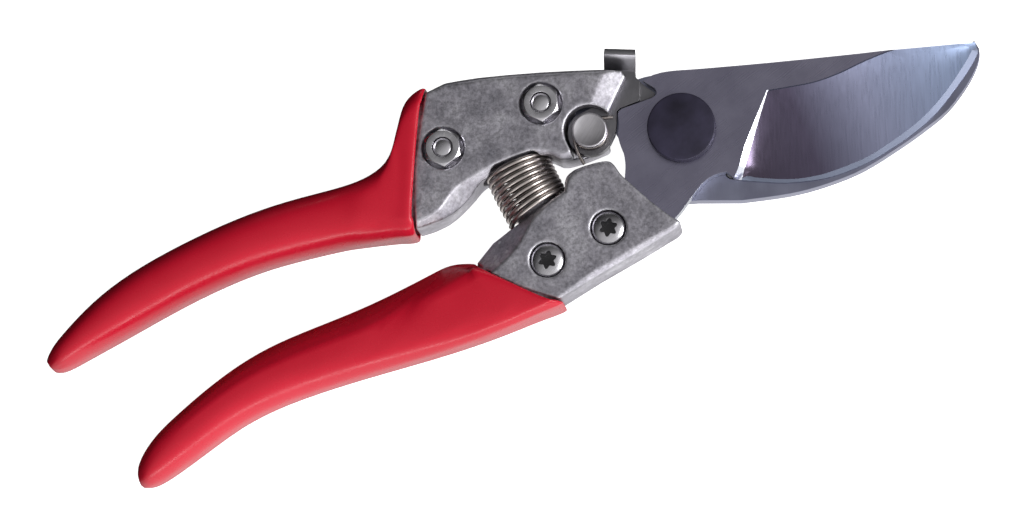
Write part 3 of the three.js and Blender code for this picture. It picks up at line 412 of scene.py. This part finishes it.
def pivot_bolt():
    """Flat black head with a slight crown and a rounded rim, neck and end."""
    reach = PIVOT_RADIUS - PIVOT_ROUNDING
    middle = PIVOT_TOP - PIVOT_CROWN - PIVOT_ROUNDING
    crown = [(reach * i / 10, PIVOT_TOP - PIVOT_CROWN * (i / 10) ** 2) for i in range(11)]
    rounding = [(reach + PIVOT_ROUNDING * math.sin(t), middle + PIVOT_ROUNDING * math.cos(t))
                for t in (math.radians(18 * i) for i in range(1, 6))]
    rest = [(PIVOT_RADIUS, 11.6), (PIVOT_RADIUS - 0.2, 11.35), (4.0, 11.3), (4.0, 3.8), (3.0, 3.8),
            (3.0, 0.5), (2.6, 0.0), (0, 0.0)]
    piece = turned((0, 0), crown + rounding + rest, 128)
    smooth(piece, 35)
    return piece


def latch_rivet():
    """Rivet of the latch: flat head with a rolled rim, set foot at the back."""
    flat = PIN_RADIUS - 0.6
    roll = [(flat + 0.15, PIN_TOP + 0.06), (flat + 0.35, PIN_TOP + 0.05), (flat + 0.52, PIN_TOP - 0.1)]
    head = [(0, PIN_TOP), (flat, PIN_TOP)] + roll + [(PIN_RADIUS, 13.7), (PIN_RADIUS, 13.2),
                                                     (PIN_RADIUS - 0.1, 13.1)]
    rest = [(2.0, 13.1), (2.0, 1.4), (3.0, 1.4), (3.0, 1.0), (2.7, 0.72), (0, 0.7)]
    piece = turned(PIN, head + rest, 96)
    smooth(piece, 40)
    return piece


# ---------------------------------------------------------------- springs
def wire(name, points, radius, sides=5):
    """A round wire along a smooth line, turned into a mesh."""
    line = bpy.data.curves.new(name, "CURVE")
    line.dimensions = "3D"
    line.bevel_depth = radius * MM
    line.bevel_resolution = sides
    line.use_fill_caps = True
    spline = line.splines.new("NURBS")
    spline.points.add(len(points) - 1)
    for spot, point in zip(spline.points, points):
        spot.co = (*(Vector(point) * MM), 1.0)
    spline.use_endpoint_u = True
    spline.order_u = 4
    spline.resolution_u = 3
    piece = bpy.data.objects.new(name, line)
    bpy.context.scene.collection.objects.link(piece)
    only(piece)
    bpy.ops.object.convert(target="MESH")
    bpy.ops.object.shade_smooth()
    return bpy.context.object


def main_spring():
    """Close-wound coil between the two frames, its turns leaning more towards the foot."""
    top = Vector(SPRING_TOP)
    foot = Vector(SPRING_FOOT)
    bend = math.radians(SPRING_BEND)
    whole = (top - foot).length
    length = whole - 2 * SPRING_INSET
    count = int(SPRING_TURNS * 20)
    points = []
    for i in range(count + 1):
        share = i / count
        middle = top.lerp(foot, (SPRING_INSET + length * share) / whole)
        middle.x -= length * bend / 4 * share * (1 - share)
        turn = share * SPRING_TURNS * math.tau
        side = SPRING_RADIUS * math.cos(turn)
        points.append((middle.x + side * math.cos(bend * share), middle.y + side * math.sin(bend * share),
                       TOOL_MIDDLE + SPRING_RADIUS * math.sin(turn)))
    return wire("main_spring_coil", points, SPRING_WIRE)


def lock_spring():
    """Torsion coil round the rivet, one leg behind the latch and one against the cutter frame."""
    x, y = PIN
    low, high = LATCH_COIL
    steps_per_turn, count = 24, 58
    points = [(-12.2, 7.6, low)]
    for i in range(count + 1):
        angle = math.radians(35 + i / steps_per_turn * 360)
        points.append((x + LATCH_COIL_RADIUS * math.cos(angle), y + LATCH_COIL_RADIUS * math.sin(angle),
                       low + (high - low) * i / count))
    points += [(-21.9, 3.4, high - 0.25), (-21.2, 0.35, high - 0.5)]
    return wire("lock_spring_coil", points, LATCH_WIRE)


# ---------------------------------------------------------------- finishes
def per(size):
    """Pattern scale for marks of a size in millimetres."""
    return 1 / (size * MM)


def lay(tree, shader, colour, rough, height, strength, depth):
    """Lays a finish on its shader: colour, roughness and a relief, its depth in millimetres."""
    relief = node(tree, "Bump", {"Height": height}, in_Strength=strength, in_Distance=depth * MM)
    tree.links.new(colour, shader.inputs["Base Color"])
    tree.links.new(rough, shader.inputs["Roughness"])
    tree.links.new(relief.outputs[0], shader.inputs["Normal"])


def cast_aluminium():
    """Tumbled die-cast aluminium: grey, cloudy, matte-satin, bright at sharp edges, partly rubbed wear and
    partly painted highlight.
    """
    made, tree, shader = new_material("tumbled die-cast aluminium")
    place = node(tree, "TexCoord").outputs["Object"]
    cloud = node(tree, "TexNoise", {0: place}, in_Scale=per(6.67), in_Detail=6.0,
                 in_Roughness=0.62).outputs[0]
    # The real grit is finer: it is drawn coarse enough to show.
    speck = node(tree, "TexNoise", {0: place}, in_Scale=per(0.667), in_Detail=4.0,
                 in_Roughness=0.7).outputs[0]
    dents = node(tree, "TexVoronoi", {0: place}, in_Scale=per(2.38), feature="F1").outputs[0]
    tone = node(tree, "ValToRGB", {0: cloud},
                stops=((0.3, linear("#94929b")), (0.5, linear("#b6b3bc")),
                       (0.72, linear("#dbd9e0")))).outputs[0]
    grain = node(tree, "ValToRGB", {0: speck}, stops=((0.35, grey(0.68)), (0.62, grey(1.08)))).outputs[0]
    mottled = node(tree, "Mix", {6: tone, 7: grain}, data_type="RGBA", blend_type="MULTIPLY",
                   in_0=1.0).outputs[2]
    # Sharp edges painted lighter: partly rubbed wear, partly painted highlight.
    edges = node(tree, "NewGeometry").outputs["Pointiness"]
    edge_mask = node(tree, "ValToRGB", {0: edges}, stops=((0.505, grey(0.0)), (0.58, grey(1.0)))).outputs[0]
    colour = node(tree, "Mix", {0: edge_mask, 6: mottled}, data_type="RGBA", in_7=linear("#d0d0d4")).outputs[2]
    rough = node(tree, "ValToRGB", {0: speck}, stops=((0.3, grey(0.36)), (0.7, grey(0.55)))).outputs[0]
    pits = node(tree, "ValToRGB", {0: dents}, stops=((0.02, grey(0.0)), (0.12, grey(1.0)))).outputs[0]
    height = node(tree, "Mix", {2: speck, 3: pits}, data_type="FLOAT", in_0=0.35).outputs[0]
    shader.inputs["Metallic"].default_value = 0.92
    lay(tree, shader, colour, rough, height, 0.35, 0.12)
    return made


def dipped_vinyl():
    """Dip-moulded plastisol vinyl: deep glossy red with a faint drip waviness."""
    made, tree, shader = new_material("dip-moulded red vinyl")
    place = node(tree, "TexCoord").outputs["Object"]
    cloud = node(tree, "TexNoise", {0: place}, in_Scale=per(22.2), in_Detail=3.0).outputs[0]
    wave = node(tree, "TexNoise", {0: place}, in_Scale=per(11.1), in_Detail=2.0).outputs[0]
    smear = node(tree, "TexNoise", {0: place}, in_Scale=per(3.85), in_Detail=5.0).outputs[0]
    tone = node(tree, "ValToRGB", {0: cloud},
                stops=((0.3, linear("#c0112a")), (0.7, linear("#cc1932")))).outputs[0]
    rough = node(tree, "ValToRGB", {0: smear}, stops=((0.35, grey(0.24)), (0.7, grey(0.32)))).outputs[0]
    shader.inputs["IOR"].default_value = 1.42
    lay(tree, shader, tone, rough, wave, 0.2, 0.4)
    return made


def lines_along(tree, place, turn, length, width):
    """Noise drawn out along one direction, as grinding and polishing leave it; sizes in millimetres."""
    straight = node(tree, "Mapping", {0: place}, vector_type="POINT", in_Rotation=(0, 0, math.radians(-turn)))
    drawn = node(tree, "Mapping", {0: straight.outputs[0]}, vector_type="POINT",
                 in_Scale=(per(length), per(width), per(width)))
    return node(tree, "TexNoise", {0: drawn.outputs[0]}, in_Scale=1.0, in_Detail=3.0,
                in_Roughness=0.6).outputs[0]


def brushed(name, dark, light, turn, rough_low, rough_high, length=16.7, metal=1.0, share=0.7, heights=None):
    """Steel with fine lines along one direction over a soft cloud; heights paint shade on it round one level.
    """
    made, tree, shader = new_material(name)
    place = node(tree, "TexCoord").outputs["Object"]
    lines = lines_along(tree, place, turn, length, 0.3125)
    cloud = node(tree, "TexNoise", {0: place}, in_Scale=per(7.14), in_Detail=5.0).outputs[0]
    both = node(tree, "Mix", {2: lines, 3: cloud}, data_type="FLOAT", in_0=share).outputs[0]
    tone = node(tree, "ValToRGB", {0: both}, stops=((0.34, linear(dark)), (0.66, linear(light)))).outputs[0]
    # Painted shade: the colour is darkened round one height.
    if heights:
        middle, near, far, least = heights
        height = node(tree, "SeparateXYZ", {0: place}).outputs["Z"]
        above = node(tree, "Math", {0: height}, operation="SUBTRACT", in_1=middle * MM).outputs[0]
        away = node(tree, "Math", {0: above}, operation="ABSOLUTE").outputs[0]
        painted_shade = node(tree, "MapRange", {0: away}, in_1=near * MM, in_2=far * MM, in_3=least,
                     in_4=1.0).outputs[0]
        tone = node(tree, "Mix", {6: tone, 7: painted_shade}, data_type="RGBA", blend_type="MULTIPLY",
                    in_0=1.0).outputs[2]
    rough = node(tree, "ValToRGB", {0: both},
                 stops=((0.3, grey(rough_low)), (0.7, grey(rough_high)))).outputs[0]
    shader.inputs["Metallic"].default_value = metal
    lay(tree, shader, tone, rough, lines, 0.08, 0.04)
    return made


def blade_steel():
    """Hard-chromed blade: satin flat face; hollow grind with lines square to the edge and a painted
    reflection, dark at the shoulder and pale to the tip.
    """
    made, tree, shader = new_material("hard-chromed blade steel")
    place = node(tree, "TexCoord").outputs["Object"]
    split = node(tree, "SeparateXYZ", {0: place})
    height = split.outputs["Z"]

    # Flat face: cloudy satin.
    cloud = node(tree, "TexNoise", {0: place}, in_Scale=per(9.09), in_Detail=5.0, in_Roughness=0.6).outputs[0]
    polish = lines_along(tree, place, 17, 11.1, 0.385)
    satin = node(tree, "Mix", {2: polish, 3: cloud}, data_type="FLOAT", in_0=0.95).outputs[0]
    face = node(tree, "ValToRGB", {0: satin},
                stops=((0.35, linear("#9390a5")), (0.65, linear("#a29fb4")))).outputs[0]

    # Hollow grind: a painted reflection, warm and dark at the shoulder, pale and cool at the tip.
    along = node(tree, "MapRange", {0: split.outputs["X"]}, in_1=8 * MM, in_2=58 * MM).outputs[0]
    painted_reflection_ramp = node(tree, "ValToRGB", {0: along},
                stops=((0.0, linear("#4f4755")), (0.3, linear("#676076")), (0.58, linear("#a7abc9")),
                       (1.0, linear("#abbcdf")))).outputs[0]
    square = lines_along(tree, place, 72, 28.6, 0.435)
    streak = node(tree, "ValToRGB", {0: square}, stops=((0.3, grey(0.93)), (0.7, grey(1.05)))).outputs[0]
    grind = node(tree, "Mix", {6: painted_reflection_ramp, 7: streak}, data_type="RGBA", blend_type="MULTIPLY",
                 in_0=1.0).outputs[2]
    under = node(tree, "Math", {0: height}, operation="LESS_THAN", in_1=GRIND_TOP * MM).outputs[0]
    over = node(tree, "Math", {0: height}, operation="GREATER_THAN", in_1=BACK_SKIN * MM).outputs[0]
    ground = node(tree, "Math", {0: under, 1: over}, operation="MULTIPLY").outputs[0]
    main = node(tree, "Mix", {0: ground, 6: face, 7: grind}, data_type="RGBA").outputs[2]

    # Slanted faces: a painted highlight on the shoulder and the rims near it, painted shade on the step over
    # the grind, the duller micro-bevel.
    facing = node(tree, "SeparateXYZ", {0: node(tree, "NewGeometry").outputs["True Normal"]}).outputs["Z"]
    level = node(tree, "Math", {0: facing}, operation="ABSOLUTE").outputs[0]
    slanted = node(tree, "ValToRGB", {0: level}, stops=((0.925, grey(1.0)), (0.94, grey(0.0)))).outputs[0]
    across = node(tree, "VectorMath", {0: place}, operation="DOT_PRODUCT",
                  in_1=SHOULDER_SIDE).outputs["Value"]
    near = node(tree, "Math", {0: across}, operation="LESS_THAN", in_1=SHOULDER_LINE * MM).outputs[0]
    beyond = node(tree, "Math", {0: across}, operation="GREATER_THAN", in_1=SHOULDER_LINE * MM).outputs[0]
    step = node(tree, "Math", {0: height}, operation="GREATER_THAN", in_1=STEP_FOOT * MM).outputs[0]
    edge = node(tree, "Math", {0: height}, operation="LESS_THAN", in_1=MICRO_BEVEL_TOP * MM).outputs[0]
    outer = node(tree, "Math", {0: edge, 1: step}, operation="MAXIMUM").outputs[0]
    bands = node(tree, "Math", {0: outer, 1: near}, operation="MAXIMUM").outputs[0]
    tilted = node(tree, "Math", {0: slanted, 1: bands}, operation="MULTIPLY").outputs[0]
    # The step gets painted shade, the micro-bevel its own duller tone, the shoulder and the rims near it a
    # painted highlight.
    bevel_tone_and_painted_step_shade = node(tree, "Mix", {0: step}, data_type="RGBA", in_6=linear("#747a8c"),
                  in_7=linear("#3a3c4a")).outputs[2]
    slant_tones_with_painted_light = node(tree, "Mix", {0: beyond, 7: bevel_tone_and_painted_step_shade}, data_type="RGBA", in_6=linear("#d6d9e2")).outputs[2]
    colour = node(tree, "Mix", {0: tilted, 6: main, 7: slant_tones_with_painted_light}, data_type="RGBA").outputs[2]

    lines = node(tree, "Mix", {0: ground, 2: polish, 3: square}, data_type="FLOAT").outputs[0]
    gloss = node(tree, "ValToRGB", {0: lines}, stops=((0.3, grey(0.26)), (0.7, grey(0.32)))).outputs[0]
    edge_mask = node(tree, "Math", {0: tilted, 1: beyond}, operation="MULTIPLY").outputs[0]
    rough = node(tree, "Mix", {0: edge_mask, 6: gloss}, data_type="RGBA", in_7=grey(0.55)).outputs[2]
    shader.inputs["Metallic"].default_value = 1.0
    lay(tree, shader, colour, rough, lines, 0.035, 0.03)
    return made


casting_finish = cast_aluminium()
vinyl_finish = dipped_vinyl()
blade_finish = blade_steel()
# Ground tool steel of the counter hook: a little duller than the blade.
hook_finish = brushed("ground hook steel", "#8f90a6", "#a0a2b8", 75, 0.3, 0.4, share=0.85)
# Black oxide over turned steel: near black, dull, with a grey bloom.
oxide_finish = brushed("black oxide steel", "#2b2836", "#3f3b51", 20, 0.34, 0.48, metal=0.5, share=1.0)
# Bright zinc plate on pressed and turned fasteners: pale silver, crisp glints.
zinc_finish = brushed("bright zinc plated steel", "#bbb9be", "#e2e0e5", 30, 0.2, 0.34, length=3.33,
                      share=0.85)
# Zinc plate left as turned on the latch's rivet: paler and duller than the other zinc.
rivet_finish = brushed("turned zinc plated rivet", "#bfbcc1", "#dedbe0", 40, 0.34, 0.46, length=5, share=0.7)
# Oil-tempered spring wire: brown-grey with fine drawn lines.
spring_finish = brushed("oil-tempered spring wire", "#9f9794", "#cfc7c2", 0, 0.24, 0.36, length=1.67,
                        share=0.8)
# Pressed and tumbled steel of the latch: grey satin, with shade painted on it below the frame's front face.
latch_finish = brushed("tumbled pressed steel", "#b9b7be", "#dbd9df", 66, 0.34, 0.48, length=5,
                       share=0.8, heights=(9.0, 3.9, 4.8, 0.38))
# Domed zinc plated screws: bright head, shade painted in the bottom of the recess.
screw_finish = brushed("bright zinc plated screw", "#bbb9be", "#e2e0e5", 30, 0.2, 0.34, length=3.33,
                       share=0.85, heights=(12.8, 0.3, 0.75, 0.12))


# ---------------------------------------------------------------- pieces
# Each casting is cut off inside its grip, square to the grip's mouth.
for side, stop, square in (("hook", (-56.5, 15.2, 0), (0.906, -0.4226, 0)),
                           ("cutter", (-50.5, -21.5, 0), (0.906, 0.4226, 0))):
    frame_part = f"{side}_frame"
    settle(casting(frame_part, stop, square), f"{side}_casting", f"{side}_side", casting_finish,
           frame_part)

for side, ridge, crease in (("hook", (0.36, -0.93, 0), 0.15), ("cutter", (0.36, 0.93, 0), 0.5)):
    grip_part = f"{side}_grip"
    settle(dipped_grip(grip_part, Vector(ridge), crease), f"{side}_grip_vinyl", f"{side}_side",
           vinyl_finish, grip_part)

hook_plate = copy_of("hook_blade")
plain_faces(hook_plate)
bevelled(hook_plate, 0.22, 2, 50)
smooth(hook_plate, 30)
settle(hook_plate, "counter_hook", "hook_side", hook_finish, "hook_blade")

blade = copy_of("cutting_blade")
plain_faces(blade, 0.2)
blade_rims(blade)
smooth(blade, 12)
settle(blade, "hollow_ground_blade", "cutter_side", blade_finish, "cutting_blade")

lever = copy_of("lock_lever")
plain_faces(lever)
bevelled(lever, 0.18, 2, 35)
smooth(lever, 30)
settle(lever, "thumb_latch", "latch", latch_finish, "lock_lever")

for label, place in zip(("front", "rear"), HOOK_BOLTS):
    bolt = lobed_bolt(place, HOOK_BOLT_HEAD, HOOK_NUT_FLOOR + NUT_HEIGHT - BOLT_SHORT)
    settle(bolt, f"frame_bolt_{label}", "hook_side", zinc_finish, f"hook_bolt_{label}")
    nut = hex_nut(place, HOOK_NUT_FLOOR)
    settle(nut, f"frame_nut_{label}", "hook_side", zinc_finish, f"hook_nut_{label}")

for label, place in zip(("front", "rear"), BLADE_SCREWS):
    screw = lobed_bolt(place, SCREW_HEAD_TOP, SCREW_NUT_FLOOR + BOLT_SHORT)
    settle(screw, f"domed_screw_{label}", "cutter_side", screw_finish, f"blade_screw_{label}")
    nut = hex_nut(place, SCREW_NUT_FLOOR)
    settle(nut, f"back_nut_{label}", "cutter_side", zinc_finish, f"blade_nut_{label}")

settle(pivot_bolt(), "pivot_bolt_black", "hook_side", oxide_finish, "pivot_bolt")
settle(latch_rivet(), "rolled_rivet", "hook_side", rivet_finish, "lock_pin")

for packed, name in (("pivot_nut", "toothed_nut"), ("pivot_keeper", "keeper_plate"),
                     ("pivot_keeper_screw", "keeper_slotted_screw")):
    piece = copy_of(packed)
    plain_faces(piece)
    bevelled(piece, 0.12, 2, 40)
    smooth(piece, 30)
    settle(piece, name, "hook_side", zinc_finish, packed)

settle(lock_spring(), "torsion_spring", "hook_side", spring_finish, "lock_spring")

# The main spring lies between both bodies and is attached to neither.
coil = main_spring()
dress(coil, spring_finish)
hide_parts("main_spring")
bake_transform(coil)


# ---------------------------------------------------------------- stage
# The view over the table: to the right, up, straight off the table and towards the eye.
RIGHT = Vector((0.934, -0.358, 0.0))
UP = Vector((0.358, 0.934, 0.0))
Z = Vector((0, 0, 1))
AWAY = Vector((0.028, -0.178, 1.0)).normalized()
TARGET = Vector((-42.1, -13.2, 14.4)) * MM
# Metres from the middle of the tool to the eye, and across the view there.
DISTANCE = 0.8
VIEW_WIDTH = 0.2083
SENSOR_WIDTH = 36

bpy.ops.object.select_all(action="DESELECT")
bpy.ops.mesh.primitive_plane_add(size=6.0, location=(0, 0, -0.4 * MM))
table = bpy.context.object
table.name = "table"
# Pressed white laminate of the table top, evenly lit: plain and pale.
table_finish, table_tree, table_shader = new_material("pressed white laminate")
table_shader.inputs["Base Color"].default_value = linear("#f4f4f4")
table_shader.inputs["Roughness"].default_value = 0.9
table_shader.inputs["Emission Color"].default_value = grey(1.0)
table_shader.inputs["Emission Strength"].default_value = 0.95
table.data.materials.append(table_finish)
table.visible_diffuse = False
table.visible_glossy = False


def softbox(name, direction, distance, size, power):
    """A rectangular lamp that looks at the middle of the tool."""
    lamp = bpy.data.lights.new(name, "AREA")
    lamp.shape = "RECTANGLE"
    lamp.size, lamp.size_y = size
    lamp.energy = power
    made = bpy.data.objects.new(name, lamp)
    bpy.context.scene.collection.objects.link(made)
    made.location = TARGET + direction.normalized() * distance
    made.rotation_mode = "QUATERNION"
    made.rotation_quaternion = direction.to_track_quat("Z", "Y")


softbox("key", RIGHT * 0.77 - UP * 0.12 + Z * 0.62, 0.9, (0.36, 0.36), 6.3)
softbox("strip", RIGHT * 0.2 - UP * 1.0 + Z * 0.12, 1.0, (0.8, 0.14), 1.6)
softbox("back", UP * 1.0 + Z * 0.3, 1.0, (0.6, 0.2), 0.7)

# Room light: dim behind the tool, brighter over its lower right, with a glow from low down there.
world = bpy.data.worlds.new("studio")
bpy.context.scene.world = world
world.use_nodes = True
tree = world.node_tree
lean = (RIGHT * 0.48 - UP * 0.66 + Z * 0.57).normalized()
low_side = (RIGHT * 0.35 - UP * 0.75 - Z * 0.55).normalized()
way = node(tree, "TexCoord").outputs["Generated"]
toward = node(tree, "VectorMath", {0: way}, operation="DOT_PRODUCT", in_1=tuple(lean)).outputs["Value"]
share = node(tree, "MapRange", {0: toward}, in_1=-1.0, in_2=1.0).outputs[0]
sky = node(tree, "ValToRGB", {0: share},
           stops=((0.2, grey(0.01)), (0.5, grey(0.04)), (0.65, grey(0.2)), (0.78, grey(0.47)),
                  (1.0, grey(0.66)))).outputs[0]
below = node(tree, "VectorMath", {0: way}, operation="DOT_PRODUCT", in_1=tuple(low_side)).outputs["Value"]
glow = node(tree, "ValToRGB", {0: below}, stops=((0.3, grey(0.0)), (0.8, grey(1.0)))).outputs[0]
room = node(tree, "Mix", {6: sky, 7: glow}, data_type="RGBA", blend_type="ADD", in_0=1.0).outputs[2]
tree.links.new(room, tree.nodes["Background"].inputs[0])
tree.nodes["Background"].inputs[1].default_value = 1.0

camera = bpy.data.objects.new("camera", bpy.data.cameras.new("camera"))
bpy.context.scene.collection.objects.link(camera)
camera.data.sensor_width = SENSOR_WIDTH
camera.data.lens = SENSOR_WIDTH * DISTANCE / VIEW_WIDTH
camera.data.clip_start = 0.01
spot = TARGET + AWAY * DISTANCE
up = (UP - AWAY * UP.dot(AWAY)).normalized()
right = up.cross(AWAY)
camera.matrix_world = Matrix((
    (right.x, up.x, AWAY.x, spot.x),
    (right.y, up.y, AWAY.y, spot.y),
    (right.z, up.z, AWAY.z, spot.z),
    (0, 0, 0, 1),
))
bpy.context.scene.camera = camera
bpy.context.scene.view_settings.view_transform = "Standard"
